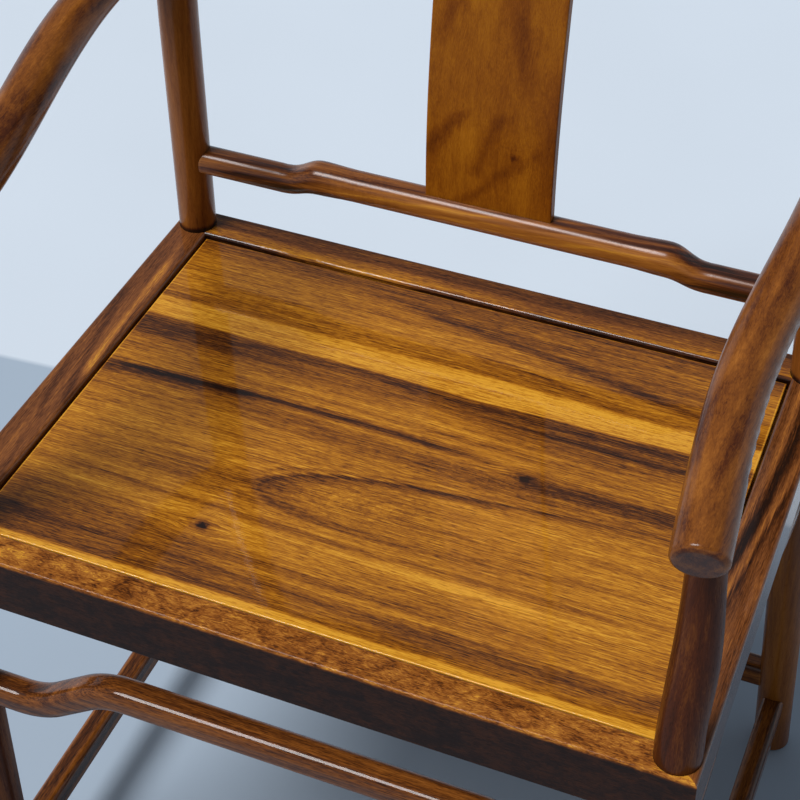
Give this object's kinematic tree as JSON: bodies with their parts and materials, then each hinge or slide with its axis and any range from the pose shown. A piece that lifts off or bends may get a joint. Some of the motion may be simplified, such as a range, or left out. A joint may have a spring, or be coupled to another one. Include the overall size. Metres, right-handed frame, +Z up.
{
  "type": "official's hat armchair",
  "caption": "Yoke-back hardwood armchair with protruding arm and crest ends, a flat splat on a hump-backed rail, a mitred seat frame with a floating panel, and stretchers between round legs.",
  "frame": {"origin": "on the floor, under the centre of the chair's overall bounding box", "axes": "+Z up, +X to the right as seen from the front, the sitter faces -Y"},
  "size_m": [0.6262, 0.5192, 1.1327],
  "materials": {
    "frame_wood": "gloss lacquered, reddish brown with dark streaks",
    "panel_wood": "gloss lacquered, golden brown with dark bands",
    "splat_wood": "gloss lacquered, golden brown, figured",
    "turned_wood": "gloss lacquered round members, reddish brown",
    "batten_wood": "planed, thinly lacquered",
    "peg_bamboo": "split bamboo, trimmed flush"
  },
  "bodies": {
    "root": {"seat_front_rail": "frame_wood", "seat_back_rail": "frame_wood", "seat_left_rail": "frame_wood", "seat_right_rail": "frame_wood", "seat_panel": "panel_wood", "panel_batten_left": "batten_wood", "panel_batten_right": "batten_wood", "back_leg_left": "turned_wood", "back_leg_right": "turned_wood", "front_leg_left": "turned_wood", "front_leg_right": "turned_wood", "arm_left": "turned_wood", "arm_right": "turned_wood", "crest_rail": "turned_wood", "back_splat": "splat_wood", "splat_rail": "turned_wood", "front_hump_stretcher": "turned_wood", "back_hump_stretcher": "turned_wood", "left_hump_stretcher": "turned_wood", "right_hump_stretcher": "turned_wood", "front_footrail": "turned_wood", "left_foot_stretcher": "turned_wood", "right_foot_stretcher": "turned_wood", "back_foot_stretcher": "turned_wood", "frame_tenon_pegs": "peg_bamboo", "crest_rail_pegs": "peg_bamboo"}
  },
  "joints": []
}
